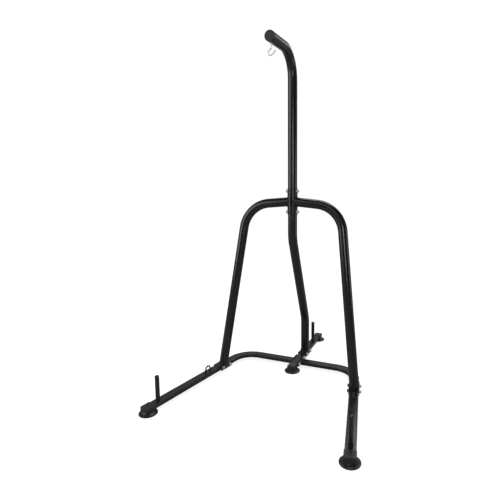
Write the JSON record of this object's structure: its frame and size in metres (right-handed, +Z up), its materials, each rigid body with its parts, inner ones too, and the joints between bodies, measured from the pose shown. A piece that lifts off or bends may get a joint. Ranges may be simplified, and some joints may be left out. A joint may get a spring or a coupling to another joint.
{
  "type": "punching bag stand",
  "caption": "Free-standing steel frame with a forward-bending mast and a swivel hook that holds a hanging punching bag.",
  "frame": {"origin": "on the floor, under the middle of the stand's bounding box", "axes": "+Z up; -Y to the front, where the bag hangs and the arms reach; +X to the right of a person who faces the stand"},
  "size_m": [1.252, 1.48, 2.1035],
  "materials": {
    "frame_black": "satin black powder coat",
    "foot_rubber": "moulded black rubber",
    "black_plastic": "moulded black plastic",
    "nylon": "moulded black nylon",
    "zinc_fasteners": "bright zinc plate",
    "bolt_black": "black zinc plate",
    "hook_zinc": "bright zinc plate"
  },
  "bodies": {
    "stand": {"centre_beam_tube": "frame_black", "centre_front_foot": "foot_rubber", "centre_rear_foot": "foot_rubber", "centre_saddle": "frame_black", "centre_saddle_bolts": "bolt_black", "centre_saddle_lock_nuts": "zinc_fasteners", "centre_saddle_washers": "zinc_fasteners", "flange_bolts": "bolt_black", "flange_lock_nuts": "zinc_fasteners", "flange_washers": "zinc_fasteners", "hook_bush": "nylon", "hook_seat": "zinc_fasteners", "left_base_tube": "frame_black", "left_flange_plate": "frame_black", "left_front_foot": "foot_rubber", "left_half_sleeve": "frame_black", "left_leg_saddle": "frame_black", "left_leg_tube": "frame_black", "left_peg_cap": "black_plastic", "left_peg_tube": "frame_black", "left_tie_loop": "frame_black", "leg_saddle_bolts": "bolt_black", "leg_saddle_lock_nuts": "zinc_fasteners", "leg_saddle_washers": "zinc_fasteners", "lower_mast_tube": "frame_black", "mast_end_plug": "black_plastic", "rear_peg_cap": "black_plastic", "rear_peg_tube": "frame_black", "right_base_tube": "frame_black", "right_flange_plate": "frame_black", "right_front_foot": "foot_rubber", "right_half_sleeve": "frame_black", "right_leg_saddle": "frame_black", "right_leg_tube": "frame_black", "right_peg_cap": "black_plastic", "right_peg_tube": "frame_black", "right_tie_loop": "frame_black", "sleeve_bolts": "bolt_black", "sleeve_curved_washers": "zinc_fasteners", "sleeve_lock_nuts": "zinc_fasteners", "upper_mast_tube": "frame_black"},
    "hook": {"hook": "hook_zinc", "hook_lock_nut": "zinc_fasteners", "hook_collar_nut": "zinc_fasteners"}
  },
  "joints": [
    {"name": "hook_swivel", "type": "hinge", "parent": "stand", "child": "hook", "pos_m": [0, -0.23851, 2.03953], "axis": [0, 0, 1], "continuous": true}
  ]
}
